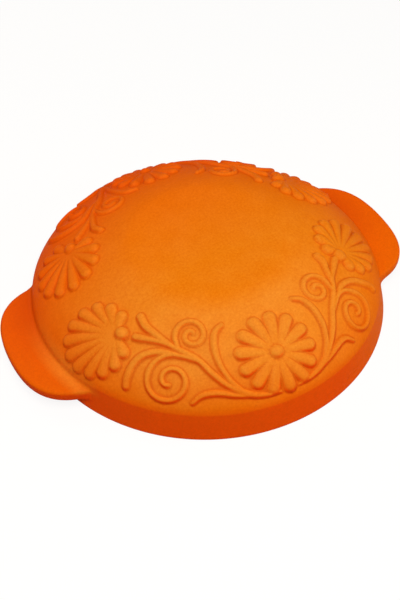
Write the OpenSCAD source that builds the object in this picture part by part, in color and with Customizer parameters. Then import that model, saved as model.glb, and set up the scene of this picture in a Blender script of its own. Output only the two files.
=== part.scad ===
// Clay roaster: the domed cover, moulded in one piece of unglazed clay, with two lug handles
// and a raised pattern of flowers and scrolls. It stands on its rim, which lies in the plane
// z = 0, and the handles lie along X.

/* [Dome] */
// Diameter of the rim that it stands on
rim_d = 320; // [260:5:400]
// Height of the crown above the rim's plane
height = 75; // [64:1:96]
// Diameter of the flat plain crown
crown_d = 128; // [100:2:140]
// Height of the steep band round the rim
band_h = 26; // [16:0.5:30]
// How far the band leans in, from the rim to the shoulder
band_lean = 5.6; // [2:0.2:12]
// Angle of the slope where it meets the shoulder
shoulder_angle = 64; // [50:1:74]
// Thickness of the clay
wall = 9.5; // [6:0.5:13]
// Rounding of the rim's outer edge
rim_edge = 1.5; // [0.5:0.25:3]

/* [Handles] */
// Width of a handle where it leaves the band
lug_w = 132; // [90:2:150]
// How far a handle stands out past the rim
lug_out = 27; // [16:1:40]
// Thickness of a handle
lug_t = 10; // [7:0.5:13]
// Height of a handle's underside above the rim's plane
lug_z = 10.5; // [4:0.5:13]
// Rounding of a handle's outer edges
lug_edge = 3; // [1:0.25:3.25]
// Rounding of the corner where a handle's top meets the dome
lug_cove = 5; // [2:0.5:8]
// Rounding in plan where a handle's sides meet the band
lug_fillet = 9; // [3:0.5:14]

/* [Flowers] */
// Petals of a whole flower
daisy_petals = 13; // [9:1:15]
// Diameter of a whole flower, over its petals
daisy_d = 69; // [50:1:74]
// Diameter of the circle that the petals of a flower seen from its side reach
fan_d = 64; // [48:1:70]
// Width of a petal near its round end
petal_w = 10.4; // [7:0.2:12]
// Width of a petal at its root
petal_root_w = 3; // [2:0.2:5]
// Height of the petals
petal_h = 3.2; // [1.5:0.1:4.5]
// Height of the raised ground that the petals run into
hub_h = 2; // [0.8:0.1:2.6]
// Diameter of a flower's boss
boss_d = 13; // [8:0.5:16]
// Height of a flower's boss
boss_h = 4.4; // [3:0.2:6]

/* [Scrolls] */
// Height of the stems, leaves and scrolls
stem_h = 2.4; // [1:0.1:3.5]
// Width of a stem
stem_w = 6; // [4:0.2:7]
// Width of a scroll's rib
scroll_w = 4.8; // [3:0.2:6]
// Turns of the large scroll
big_turns = 1.5; // [1:0.05:1.7]
// Turns of the small scroll
small_turns = 1.35; // [1:0.05:1.6]

/* [Hidden] */

clay = [0.92, 0.45, 0.08];
rim_r = rim_d / 2;
crown_r = crown_d / 2;
shoulder_r = rim_r - band_lean;
round_sides = 72;
slope_steps = 10;
below = 1.2;
rib_section = [148, 90, 32];
end_rings = [35, 62, 84];
root_h = 0.6;
root_lap = 0.85;
widest_hub = 0.75;

// The slope is one Bezier curve, level where it leaves the crown
crown_pull = 0.2 * (shoulder_r - crown_r);
shoulder_pull = 0.55 * (height - band_h);
slope_ends = [
    [crown_r, height],
    [crown_r + crown_pull, height],
    [shoulder_r - shoulder_pull * cos(shoulder_angle), band_h + shoulder_pull * sin(shoulder_angle)],
    [shoulder_r, band_h]
];

function bezier(p, t) =
    pow(1 - t, 3) * p[0] + 3 * pow(1 - t, 2) * t * p[1] + 3 * (1 - t) * t * t * p[2] + pow(t, 3) * p[3];

function bezier_slope(p, t) =
    3 * pow(1 - t, 2) * (p[1] - p[0]) + 6 * (1 - t) * t * (p[2] - p[1]) + 3 * t * t * (p[3] - p[2]);

function unit(v) = v / norm(v);

// The same distance inside a line that runs down the slope
function inward(p, along, d) = let (u = unit(along)) p + d * [u.y, -u.x];

// The slope from the crown to the shoulder, moved inward by a distance
function slope_line(d) = [
    for (i = [0:slope_steps])
        let (t = i / slope_steps) inward(bezier(slope_ends, t), bezier_slope(slope_ends, t), d)
];

slope = slope_line(0);
outer_line = concat([[0, height]], slope, [[rim_r, 0]]);

// Radius, height and way down the surface from the middle of the crown, each from another
function way(i) = i == 0 ? 0 : way(i - 1) + norm(outer_line[i] - outer_line[i - 1]);
last = len(outer_line) - 1;
ways = [for (i = [0:last]) way(i)];
way_of_r = [for (i = [0:last]) [outer_line[i].x, ways[i]]];
r_of_way = [for (i = [0:last]) [ways[i], outer_line[i].x]];
r_of_z = [for (i = [last:-1:1]) [outer_line[i].y, outer_line[i].x]];

function z_at(r) = lookup(r, outer_line);

// A plan point lifted onto the dome, and the dome's outward direction there
function foot(p) = [p.x, p.y, z_at(norm(p))];
function outward(p) =
    let (r = max(norm(p), 1), fall = z_at(r + 0.5) - z_at(r - 0.5))
    unit([-fall * p.x / r, -fall * p.y / r, 1]);

// A plan point t sideways and s down the slope from the place [radius, angle]
function beside(place, t, s) =
    let (a = place[1], r = lookup(lookup(place[0], way_of_r) + s, r_of_way))
    [r * cos(a) + t * sin(a), r * sin(a) - t * cos(a)];

// Smooth line through points whose first two numbers are a place in plan
function smooth(p, n) = [
    for (i = [0:len(p) - 2], k = [0:n - 1])
        let (a = p[max(i - 1, 0)], b = p[i], c = p[i + 1], d = p[min(i + 2, len(p) - 1)], t = k / n)
        0.5 * (2 * b + (c - a) * t + (2 * a - 5 * b + 4 * c - d) * t * t + (3 * b - a - 3 * c + d) * t * t * t),
    p[len(p) - 1]
];

// Solid through closed rings of points, with both ends closed
module skin(rings) {
    m = len(rings[0]);
    n = len(rings);
    points = [for (ring = rings) each ring];
    sides = [
        for (i = [0:n - 2], j = [0:m - 1])
            [i * m + j, i * m + (j + 1) % m, (i + 1) * m + (j + 1) % m, (i + 1) * m + j]
    ];
    first_end = [for (j = [m - 1:-1:0]) j];
    last_end = [for (j = [0:m - 1]) (n - 1) * m + j];
    polyhedron(points, concat([first_end], sides, [last_end]), convexity = 6);
}

// Rounded rib along the dome, through points [x, y, half width, height]
module rib(line) {
    n = len(line);
    skin([
        for (i = [0:n - 1])
            let (
                p = line[i],
                base = foot(p),
                up = outward(p),
                along = foot(line[min(i + 1, n - 1)]) - foot(line[max(i - 1, 0)]),
                side = unit(cross(along, up))
            )
            concat(
                [base + side * p[2] - up * below],
                [for (a = rib_section) base - side * p[2] * cos(a) + up * p[3] * sin(a)],
                [base - side * p[2] - up * below]
            )
    ]);
}

// Three more points that round off a rib's last end
function rounded(line) =
    let (
        n = len(line) - 1,
        e = line[n],
        d = foot(e) - foot(line[n - 1]),
        flat = norm([d.x, d.y]) / norm(d),
        u = unit([d.x, d.y]) * flat
    )
    concat(line, [
        for (a = end_rings)
            [e.x + u.x * e[2] * sin(a), e.y + u.y * e[2] * sin(a), e[2] * cos(a), e[3] * sqrt(cos(a))]
    ]);

// Puts things on the dome at a plan point, with their Z axis along its outward direction
module on_dome(p) {
    up = outward(p);
    side = unit(cross(up, [-p.y, p.x, 0]));
    over = cross(up, side);
    b = foot(p);
    multmatrix([
        [side.x, over.x, up.x, b.x],
        [side.y, over.y, up.y, b.y],
        [side.z, over.z, up.z, b.z],
        [0, 0, 0, 1]
    ])
        children();
}

// Petal from a share of the way between its root and its round end, in the measure of the place
module petal(place, root, tip, from) {
    round_r = petal_w / 2;
    root_r = petal_root_w / 2;
    end = tip - round_r * unit(tip - root);
    rib(rounded([
        for (f = [from, 1])
            let (c = root + (end - root) * f)
            concat(beside(place, c.x, c.y), [root_r + (round_r - root_r) * f, petal_h * (root_h + (1 - root_h) * f)])
    ]));
}

// Share of the petals' length where each one parts from the next
function parting(d, step) =
    let (pitch = (d - petal_w) * sin(step / 2))
    min(petal_root_w / max(pitch - petal_w + petal_root_w, 1), widest_hub);

// Flower whose petals end on a circle and start at a root that may be off its middle
module flower(place, d, petals, step, axis, shift, boss_shift) {
    u = [cos(axis), sin(axis)];
    for (i = [0:petals - 1])
        let (a = axis + step * (i - (petals - 1) / 2))
        petal(place, -shift * u, d / 2 * [cos(a), sin(a)], parting(d, step) * root_lap);
    c = -boss_shift * u;
    ball_r = (boss_d * boss_d / 4 + boss_h * boss_h) / (2 * boss_h);
    on_dome(beside(place, c.x, c.y))
        translate([0, 0, boss_h - ball_r]) sphere(r = ball_r, $fn = round_sides);
}

// Plug that the raised ground of a flower is cut with
module hub_plug(place, d, step, axis, shift) {
    share = parting(d, step);
    c = -shift * (1 - share) * [cos(axis), sin(axis)];
    r = share * (d - petal_w) / 2;
    deep = 4;
    on_dome(beside(place, c.x, c.y))
        translate([0, 0, -deep]) cylinder(h = 2 * deep, r1 = r + deep / 2, r2 = r - deep / 2, $fn = round_sides);
}

// Places and lines of the pattern are in hundredths of the rim's radius, in the first quarter of
// the plan. Places are [radius, angle].
part_r = rim_r / 100;
daisy_at = [78 * part_r, 90];
big_place = [85.5, 51];
big_scroll = [13.1, 2.3];
small_place = [64.5, 56.7];
small_scroll = [8.6, 1.7];

// The quarters were cut by hand in the mould, so they differ a little: mirrored in X, in Y, then
// the fan's place, its size as a share of fan_d, petals, step and axis, how far its roots and its
// boss lie off its middle as shares of its size, and moves [x, y, dx, dy] of the vine near x, y
quarters = [
    [1, 1, [81, 19.6], 1, 12, 25.7, 45, 0.28, 0.36, []],
    [0, 1, [77, 21.7], 0.96, 12, 27, 30, 0.28, 0.36, [
        [29, 73, 1.4, 0], [28, 64.5, 1.9, 0.6], [19.5, 56.5, 1.3, 0.3], [48, 79.5, -6.3, 1.9],
        [35.5, 82, 0, -0.2], [34, 74.5, 1.9, 0.6], [39.5, 65.5, 2.5, 1.9], [54, 66, -1.6, 2.5],
        [65, 65.5, -3.1, 1.9], [56.5, 55, 0, 5], [51.5, 75, -0.9, 3.8], [45, 70, -0.6, 1.9],
        [60, 49.5, 0, 4.4], [67, 50.5, 0, 3.8], [73, 55.5, -0.6, 0], [44, 57, 2.5, 0],
        [49.5, 49.5, 0.6, 0.3], [55.5, 43.5, -0.6, -0.3], [59.5, 39.5, -1.6, -1.6],
        [50.5, 44.5, -3.1, 0], [53, 38, -5, 3.1], [53, 32, -5.6, 6.3], [35.5, 54, 1.4, 1.6]
    ]],
    [1, 0, [75.6, 20.8], 1.02, 11, 28.5, 16, 0.2, 0.28, [
        [29, 73, -4.7, 0], [28, 64.5, -5.6, 0], [19.5, 56.5, -5.6, 1.6], [35.5, 54, -5.3, 2.8],
        [47, 52, -5, 0], [50.5, 44.5, -6.3, 0.6], [53, 38, -8.1, 1.9], [53, 32, -8.1, 5],
        [44, 57, -3.1, 1.3], [49.5, 49.5, -1.3, -0.3], [55.5, 43.5, -0.6, -0.3],
        [59.5, 39.5, 1.3, 1.6], [53, 52.5, -0.6, 0.6], [60, 49.5, -0.6, 4.4], [66, 50, -1.6, 5.6],
        [73, 55.5, -5.9, 3.8], [54, 66, -5.6, 3.1], [56.5, 55, -5, 6.3], [38, 65.5, -3.8, 0.6],
        [34, 74.5, -3.1, 0], [48, 79.5, -6.3, 1.9]
    ]],
    [0, 0, [78.8, 18.8], 1, 12, 25.7, 38, 0.27, 0.34, [
        [19.5, 56.5, 3.1, -2.2], [28, 64.5, 1.3, -1.3], [35.5, 54, 2.2, -3.4], [53, 32, -2.8, 0.6],
        [53, 38, -1.9, 0.6], [59.5, 39.5, 1.3, 1.9]
    ]]
];
move_reach = 4.4;
move_ease = 0.15;

// How far the moves carry a point: their mean, weighted by how near each one is
function carried(p, moves) =
    len(moves) == 0 ? [0, 0] :
    let (w = [for (m = moves) exp(-pow(norm([p.x - m[0], p.y - m[1]]) / move_reach, 2) / 2)])
    [w * [for (m = moves) m[2]], w * [for (m = moves) m[3]]] / (w * [for (m = moves) 1] + move_ease);

// Lines [x, y, share of the stem's width, share of its height] in millimetres
function drawn(line, moves) = [
    for (p = line)
        let (q = ([p.x, p.y] + carried(p, moves)) * part_r) [q.x, q.y, p[2] * stem_w / 2, p[3] * stem_h]
];

stem_line = [
    [5.5, 93, 0.45, 0.7], [12.5, 92, 0.75, 0.9], [20.5, 89, 1, 1], [28.5, 82.5, 1, 1], [34, 74.5, 0.95, 1],
    [38, 65.5, 0.9, 1], [44, 57, 0.85, 1], [49.5, 49.5, 0.9, 1], [55.5, 43.5, 1.05, 1.1], [59.5, 39.5, 1.15, 1.2]
];
rim_leaf_line = [
    [20, 90, 0.4, 0.7], [27.5, 86.5, 0.8, 1], [35.5, 82, 0.95, 1], [42.5, 79.5, 0.85, 1], [48, 79.5, 0.55, 0.9]
];
daisy_leaf_line = [
    [22.5, 87, 0.4, 0.7], [27, 81, 0.75, 1], [29, 73, 0.85, 1], [28, 64.5, 1, 1], [24.5, 58.5, 0.95, 1],
    [19.5, 56.5, 0.65, 0.9]
];
drop_leaf_line = [
    [42.5, 59, 0.4, 0.6], [47, 52, 0.75, 1], [50.5, 44.5, 1, 1.1], [53, 38, 1.25, 1.2], [53, 32, 1.3, 1.2]
];
fan_leaf_line = [
    [40, 65, 0.4, 0.7], [46, 58.5, 0.75, 1], [53, 52.5, 1, 1], [60, 49.5, 1.05, 1.1], [66, 50, 1.1, 1.1],
    [71, 53, 1.1, 1.1], [73, 55.5, 1.05, 1.1]
];
big_way_in = [[35.5, 70.5, 0.4, 0.8], [39.5, 64.5, 0.75, 1]];
small_way_in = [[44, 58, 0.4, 0.8]];

// Scroll: a way in from the stem, then a spiral between two radii round its place
module scroll(way_in, place, radii, start, turns, hand, moves) {
    steps = ceil(turns * 14);
    here = [place[0] * part_r, place[1]];
    spiral = [
        for (i = [0:steps])
            let (
                f = i / steps,
                a = start + hand * 360 * turns * f,
                r = (radii[0] - (radii[0] - radii[1]) * pow(f, 1.1)) * part_r,
                p = beside(here, r * cos(a), r * sin(a)),
                q = p + carried(p / part_r, moves) * part_r
            )
            [q.x, q.y, scroll_w / 2 * (1 - 0.15 * f), stem_h]
    ];
    lead = smooth(concat(drawn(way_in, moves), [spiral[0]]), 2);
    rib(rounded(concat(lead, [for (i = [1:steps]) spiral[i]])));
}

// A fan from its values in the list of quarters
function fan_at(q) = [q[2][0] * part_r, q[2][1]];
function fan_size(q) = q[3] * fan_d;

module fan(q) {
    flower(fan_at(q), fan_size(q), q[4], q[5], q[6], q[7] * fan_size(q), q[8] * fan_size(q));
}

module vine(moves) {
    for (line = [stem_line, rim_leaf_line, daisy_leaf_line, drop_leaf_line, fan_leaf_line])
        rib(rounded(smooth(drawn(line, moves), 2)));
    scroll(big_way_in, big_place, big_scroll, -100, big_turns, 1, moves);
    scroll(small_way_in, small_place, small_scroll, 20, small_turns, -1, moves);
}

module whole_flowers() {
    for (turn = [0, 180])
        rotate([0, 0, turn]) children();
}

// Ground of the flowers, which follows the dome at its own height
module hubs() {
    intersection() {
        rotate_extrude($fn = round_sides)
            polygon(concat([[0, 0], [0, height + hub_h]], slope_line(-hub_h), [[shoulder_r, 0]]));
        union() {
            for (q = quarters)
                mirror([q[0], 0, 0]) mirror([0, q[1], 0])
                    hub_plug(fan_at(q), fan_size(q), q[5], q[6], q[7] * fan_size(q));
            whole_flowers() hub_plug(daisy_at, daisy_d, 360 / daisy_petals, 90, 0);
        }
    }
}

module relief() {
    hubs();
    for (q = quarters)
        mirror([q[0], 0, 0]) mirror([0, q[1], 0]) {
            fan(q);
            vine(q[9]);
        }
    whole_flowers() flower(daisy_at, daisy_d, daisy_petals, 360 / daisy_petals, 90, 0, 0);
}

module dome() {
    edge_x = rim_r - band_lean * rim_edge / band_h - rim_edge;
    rotate_extrude($fn = round_sides)
        polygon(concat(
            [[0, 0]],
            [for (a = [0:30:90]) [edge_x + rim_edge * sin(a), rim_edge * (1 - cos(a))]],
            [for (i = [slope_steps:-1:0]) slope[i]],
            [[0, height]]
        ));
}

module hollow() {
    band = [rim_r, 0] - [shoulder_r, band_h];
    inner_band = inward([shoulder_r, band_h], band, wall);
    inner_slope = slope_line(wall);
    near = inner_slope[slope_steps - 1];
    along = inner_slope[slope_steps] - near;
    corner = near + along * cross(inner_band - near, band) / cross(along, band);
    rotate_extrude($fn = round_sides)
        polygon(concat(
            [[0, -below], corner + band * (corner.y + below) / band_h, corner],
            [for (i = [slope_steps - 1:-1:0]) inner_slope[i]],
            [[0, height - wall]]
        ));
}

// Section of a handle at an angle from its middle, as points [radius, height]
lug_top = lug_z + lug_t;
lug_wall_r = lookup(lug_z + lug_t / 2, r_of_z);
lug_half = asin(lug_w / 2 / lug_wall_r);
lug_corner = 3.7;
lug_sink = 1;

function eased_max(a, b, k) = max(a, b) + pow(max(k - abs(a - b), 0), 2) / (4 * k);

function lug_section(angle) =
    let (
        tip_r = rim_r + lug_out,
        free_r = tip_r - (tip_r - lug_wall_r) * pow(abs(angle) / lug_half, lug_corner),
        r = eased_max(lug_wall_r - lug_sink, free_r, lug_fillet),
        root_r = lug_wall_r - wall,
        cove_r = min(lookup(lug_top, r_of_z) + lug_cove, r - lug_edge - 0.1),
        cove_top_r = lookup(lug_top + lug_cove, r_of_z) - 0.3
    )
    concat(
        [[root_r, lug_z]],
        [for (a = [-90:45:0]) [r - lug_edge + lug_edge * cos(a), lug_z + lug_edge + lug_edge * sin(a)]],
        [for (a = [0:30:90]) [r - lug_edge + lug_edge * cos(a), lug_top - lug_edge + lug_edge * sin(a)]],
        [
            for (a = [0:30:90])
                [cove_top_r + (cove_r - cove_top_r) * (1 - sin(a)), lug_top + lug_cove * (1 - cos(a))]
        ],
        [[root_r, lug_top + lug_cove]]
    );

module lug() {
    steps = 24;
    sweep = lug_half * 1.15;
    skin([
        for (i = [0:steps])
            let (angle = sweep * (2 * i / steps - 1))
            [for (p = lug_section(angle)) [p.x * cos(angle), p.x * sin(angle), p.y]]
    ]);
}

module roaster_cover() {
    color(clay)
        difference() {
            union() {
                dome();
                for (turn = [0, 180]) rotate([0, 0, turn]) lug();
                relief();
            }
            hollow();
        }
}

roaster_cover();
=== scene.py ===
"""Clay roaster cover: one moulded piece of unglazed clay with two lug handles and a raised pattern."""

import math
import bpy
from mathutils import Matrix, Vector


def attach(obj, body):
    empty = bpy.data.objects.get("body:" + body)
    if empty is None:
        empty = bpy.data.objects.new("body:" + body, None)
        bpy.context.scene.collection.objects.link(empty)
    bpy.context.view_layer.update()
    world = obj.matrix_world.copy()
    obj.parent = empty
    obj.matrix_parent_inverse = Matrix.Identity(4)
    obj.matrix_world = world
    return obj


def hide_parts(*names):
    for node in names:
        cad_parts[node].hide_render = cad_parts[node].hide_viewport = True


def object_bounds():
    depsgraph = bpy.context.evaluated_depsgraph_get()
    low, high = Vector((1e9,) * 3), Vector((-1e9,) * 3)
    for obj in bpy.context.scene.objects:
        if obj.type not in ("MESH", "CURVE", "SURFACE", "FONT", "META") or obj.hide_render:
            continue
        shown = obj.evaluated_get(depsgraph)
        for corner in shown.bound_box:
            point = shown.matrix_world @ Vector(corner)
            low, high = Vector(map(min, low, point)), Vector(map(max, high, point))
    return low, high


bl_info = {
    "name": "Clay roaster cover",
    "version": (1, 0, 0),
    "blender": (4, 5, 0),
    "location": "View3D > Sidebar > Roaster",
    "description": "Moulds the cover of a clay roaster, fires its clay and sets it on a plain stage",
    "category": "Add Mesh",
}

import bpy
import numpy as np
from mathutils import Matrix, Vector

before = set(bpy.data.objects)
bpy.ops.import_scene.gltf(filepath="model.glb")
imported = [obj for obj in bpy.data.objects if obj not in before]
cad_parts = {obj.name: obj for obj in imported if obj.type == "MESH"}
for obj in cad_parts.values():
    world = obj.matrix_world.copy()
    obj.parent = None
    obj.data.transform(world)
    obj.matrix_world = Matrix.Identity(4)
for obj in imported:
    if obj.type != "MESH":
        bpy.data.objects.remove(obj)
CAD_LOW, CAD_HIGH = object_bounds()

# The shapes are worked out in millimetres and go into the mesh in metres
MM = 1000.0

# Columns of the mesh round the relief, round the band and handles, and round the plain crown and
# the inside
COLUMNS = 800
SKIRT_COLUMNS = 400
FEW_COLUMNS = 200
# Millimetres between the rows of the relief, down the slope, and over which it ends at the shoulder
ROW_STEP = 1.04
RELIEF_END = 2.5
# Radii, in millimetres, of the rings on the crown, of the last plain ring before the relief, with the
# rings on the way to it, and of the rings under the crown
CROWN_RINGS = (10, 24, 38, 50, 58, 64)
PLAIN_R = 86
PLAIN_RINGS = 8
INNER_RINGS = (48, 30, 12)


class RoasterShape(bpy.types.PropertyGroup):
    rim_d: bpy.props.FloatProperty(
        name="Rim", description="Diameter of the rim that it stands on",
        default=0.320, min=0.2, max=0.5, subtype="DISTANCE", unit="LENGTH")
    height: bpy.props.FloatProperty(
        name="Height", description="Height of the crown above the rim",
        default=CAD_HIGH.z, min=0.05, max=0.15, subtype="DISTANCE", unit="LENGTH")
    reach: bpy.props.FloatProperty(
        name="Over the handles", description="Length over both handles",
        default=CAD_HIGH.x - CAD_LOW.x, min=0.25, max=0.6, subtype="DISTANCE", unit="LENGTH")
    crown_d: bpy.props.FloatProperty(
        name="Crown", description="Diameter of the flat plain crown",
        default=0.128, min=0.08, max=0.2, subtype="DISTANCE", unit="LENGTH")
    band_h: bpy.props.FloatProperty(
        name="Band", description="Height of the steep band round the rim",
        default=0.026, min=0.01, max=0.04, subtype="DISTANCE", unit="LENGTH")
    band_lean: bpy.props.FloatProperty(
        name="Lean", description="How far the band leans in, from the rim to the shoulder",
        default=0.0056, min=0.0, max=0.02, subtype="DISTANCE", unit="LENGTH")
    shoulder_angle: bpy.props.FloatProperty(
        name="Shoulder angle", description="Steepness of the slope where it meets the shoulder",
        default=math.radians(64), min=0.8, max=1.3, subtype="ANGLE", unit="ROTATION")
    wall: bpy.props.FloatProperty(
        name="Wall", description="Thickness of the clay",
        default=0.0095, min=0.005, max=0.015, subtype="DISTANCE", unit="LENGTH")
    rim_edge: bpy.props.FloatProperty(
        name="Rim edge", description="Rounding of the rim's edges",
        default=0.0016, min=0.0005, max=0.004, subtype="DISTANCE", unit="LENGTH")


class RoasterHandles(bpy.types.PropertyGroup):
    width: bpy.props.FloatProperty(
        name="Width", description="Width of a handle where it leaves the band",
        default=0.132, min=0.08, max=0.2, subtype="DISTANCE", unit="LENGTH")
    thickness: bpy.props.FloatProperty(
        name="Thickness", description="Thickness of a handle",
        default=0.010, min=0.006, max=0.016, subtype="DISTANCE", unit="LENGTH")
    underside: bpy.props.FloatProperty(
        name="Underside", description="Height of a handle's underside above the rim",
        default=0.0105, min=0.004, max=0.02, subtype="DISTANCE", unit="LENGTH")
    edge: bpy.props.FloatProperty(
        name="Edge", description="Rounding of a handle's outer edges",
        default=0.0030, min=0.001, max=0.005, subtype="DISTANCE", unit="LENGTH")
    cove: bpy.props.FloatProperty(
        name="Cove", description="Rounding of the corner where a handle's top meets the dome",
        default=0.005, min=0.001, max=0.005, subtype="DISTANCE", unit="LENGTH")
    fillet: bpy.props.FloatProperty(
        name="Fillet", description="Rounding in plan where a handle's sides meet the band",
        default=0.009, min=0.003, max=0.014, subtype="DISTANCE", unit="LENGTH")


class RoasterRelief(bpy.types.PropertyGroup):
    daisy_d: bpy.props.FloatProperty(
        name="Whole flower", description="Diameter of a whole flower, over its petals",
        default=0.069, min=0.05, max=0.08, subtype="DISTANCE", unit="LENGTH")
    fan_d: bpy.props.FloatProperty(
        name="Fan", description="Diameter of the circle that the petals of a fan reach",
        default=0.064, min=0.05, max=0.075, subtype="DISTANCE", unit="LENGTH")
    petal_w: bpy.props.FloatProperty(
        name="Petal", description="Width of a petal near its round end",
        default=0.0108, min=0.006, max=0.013, subtype="DISTANCE", unit="LENGTH")
    petal_h: bpy.props.FloatProperty(
        name="Petal height", description="Height of the petals",
        default=0.0038, min=0.001, max=0.005, subtype="DISTANCE", unit="LENGTH")
    hub_h: bpy.props.FloatProperty(
        name="Ground height", description="Height of the raised ground that the petals run into",
        default=0.0023, min=0.0005, max=0.003, subtype="DISTANCE", unit="LENGTH")
    boss_d: bpy.props.FloatProperty(
        name="Boss", description="Diameter of a flower's boss",
        default=0.0125, min=0.008, max=0.016, subtype="DISTANCE", unit="LENGTH")
    boss_h: bpy.props.FloatProperty(
        name="Boss height", description="Height of a flower's boss",
        default=0.0058, min=0.002, max=0.008, subtype="DISTANCE", unit="LENGTH")
    stem_h: bpy.props.FloatProperty(
        name="Stem height", description="Height of the stems, leaves and scrolls",
        default=0.0027, min=0.001, max=0.004, subtype="DISTANCE", unit="LENGTH")
    stem_w: bpy.props.FloatProperty(
        name="Stem", description="Width of a stem",
        default=0.0057, min=0.004, max=0.008, subtype="DISTANCE", unit="LENGTH")
    scroll_w: bpy.props.FloatProperty(
        name="Scroll", description="Width of a scroll's rib",
        default=0.0046, min=0.003, max=0.006, subtype="DISTANCE", unit="LENGTH")
    softness: bpy.props.FloatProperty(
        name="Softness", description="How far the foot of the relief is washed out by the mould",
        default=0.0004, min=0.0001, max=0.002, subtype="DISTANCE", unit="LENGTH")


class RoasterClay(bpy.types.PropertyGroup):
    body: bpy.props.FloatVectorProperty(
        name="Clay", description="Colour of the fired clay",
        default=(0.84, 0.208, 0.001), size=3, min=0.0, max=1.0, subtype="COLOR")
    # Painted shade: the far side of the cover, away from the light, is made darker and redder
    flame: bpy.props.FloatVectorProperty(
        name="Far side shade", description="Colour painted as shade on the far side, away from the light",
        default=(0.91, 0.100, 0.001), size=3, min=0.0, max=1.0, subtype="COLOR")
    low: bpy.props.FloatVectorProperty(
        name="Lower clay", description="Colour towards the rim and on the handles",
        default=(0.84, 0.157, 0.001), size=3, min=0.0, max=1.0, subtype="COLOR")
    # Painted shade: the steep sides face away from the overhead light, and this colour makes them darker
    # and redder
    steep: bpy.props.FloatVectorProperty(
        name="Steep clay", description="Colour on the steep sides",
        default=(0.89, 0.070, 0.001), size=3, min=0.0, max=1.0, subtype="COLOR")
    # Pale clay is partly dust and partly painted light: a painted sheen on the front slope, painted
    # highlights on proud ridges and on the handles' edges, and painted light in the cove of the left
    # handle
    pale: bpy.props.FloatVectorProperty(
        name="Pale clay", description="Colour where the clay is rubbed and dusty",
        default=(0.88, 0.280, 0.022), size=3, min=0.0, max=1.0, subtype="COLOR")
    # Painted shade: the deep colour darkens the creases of the relief and the handles at the back, where
    # shade falls; it is also the colour of the darker grit
    deep: bpy.props.FloatVectorProperty(
        name="Deep clay", description="Colour in the creases of the relief",
        default=(0.60, 0.060, 0.001), size=3, min=0.0, max=1.0, subtype="COLOR")
    grain: bpy.props.FloatProperty(
        name="Grain", description="Size of the grains in the surface",
        default=0.0022, min=0.0005, max=0.005, subtype="DISTANCE", unit="LENGTH")


class RoasterStage(bpy.types.PropertyGroup):
    azimuth: bpy.props.FloatProperty(
        name="Azimuth", description="How far round the camera stands from the front",
        default=math.radians(-26.24), subtype="ANGLE", unit="ROTATION")
    elevation: bpy.props.FloatProperty(
        name="Elevation", description="Height of the camera above the horizon",
        default=math.radians(46.57), subtype="ANGLE", unit="ROTATION")
    distance: bpy.props.FloatProperty(
        name="Distance", description="Distance from the middle of the rim's plane to the camera",
        default=0.9649, min=0.3, max=5.0, subtype="DISTANCE", unit="LENGTH")
    roll: bpy.props.FloatProperty(
        name="Roll", description="Turn of the camera about its own line of sight",
        default=math.radians(-1.09), subtype="ANGLE", unit="ROTATION")
    lens: bpy.props.FloatProperty(
        name="Lens", description="Focal length in millimetres",
        default=63.63, min=20.0, max=200.0)
    floor: bpy.props.FloatVectorProperty(
        name="Floor", description="Colour of the floor",
        default=(0.60, 0.55, 0.48), size=3, min=0.0, max=1.0, subtype="COLOR")


def smooth_line(points, steps):
    """Smooth line through the rows of points: each stretch is a cubic that passes its two ends
    along the chords between their neighbours."""
    p = np.asarray(points, float)
    q = np.vstack([p[:1], p, p[-1:]])
    a, b, c, d = (q[i:len(p) - 1 + i, None, :] for i in range(4))
    t = (np.arange(steps) / steps)[None, :, None]
    line = 0.5 * (2 * b + (c - a) * t + (2 * a - 5 * b + 4 * c - d) * t ** 2
                  + (3 * b - a - 3 * c + d) * t ** 3)
    return np.vstack([line.reshape(-1, p.shape[1]), p[-1:]])


def smooth_step(x):
    """0 below 0, 1 above 1, and 3x^2 - 2x^3 between."""
    x = np.clip(x, 0.0, 1.0)
    return x * x * (3 - 2 * x)


def eased_max(a, b, k):
    """The larger of a and b, with a curve of width k where they are nearly the same."""
    return np.maximum(a, b) + np.maximum(k - np.abs(a - b), 0) ** 2 / (4 * k)


def towards(degrees):
    """Step of length 1 in a plane, at an angle from its first axis."""
    return np.array([math.cos(math.radians(degrees)), math.sin(math.radians(degrees))])


def cubic_curve(p, t):
    """Points and directions at t of (1-t)^3 p[0] + 3(1-t)^2 t p[1] + 3(1-t) t^2 p[2] + t^3 p[3],
    which leaves p[0] towards p[1] and comes to p[3] from p[2]."""
    t = t[:, None]
    at = (1 - t) ** 3 * p[0] + 3 * (1 - t) ** 2 * t * p[1] + 3 * (1 - t) * t ** 2 * p[2] + t ** 3 * p[3]
    turn = 3 * (1 - t) ** 2 * (p[1] - p[0]) + 6 * (1 - t) * t * (p[2] - p[1]) + 3 * t ** 2 * (p[3] - p[2])
    return at, turn / np.linalg.norm(turn, axis=1, keepdims=True)


def round_corner(p, points):
    """Points after p[0] of (1-t)^2 p[0] + 2(1-t) t p[1] + t^2 p[2], which rounds the corner p[1]."""
    t = np.linspace(0, 1, points)[1:, None]
    return (1 - t) ** 2 * p[0] + 2 * (1 - t) * t * p[1] + t * t * p[2]


# How far the two ends of the slope's curve pull, as shares of its width and its height, and how many
# points it has. How far the small round of the shoulder reaches up the slope and down the band, its
# points, and how far the line runs on down the band, in millimetres.
CROWN_PULL = 0.2
SHOULDER_PULL = 0.55
SLOPE_POINTS = 400
SHOULDER_SOFT = (3.0, 0.6)
SHOULDER_POINTS = 12
RUN_ON = 4


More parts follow.
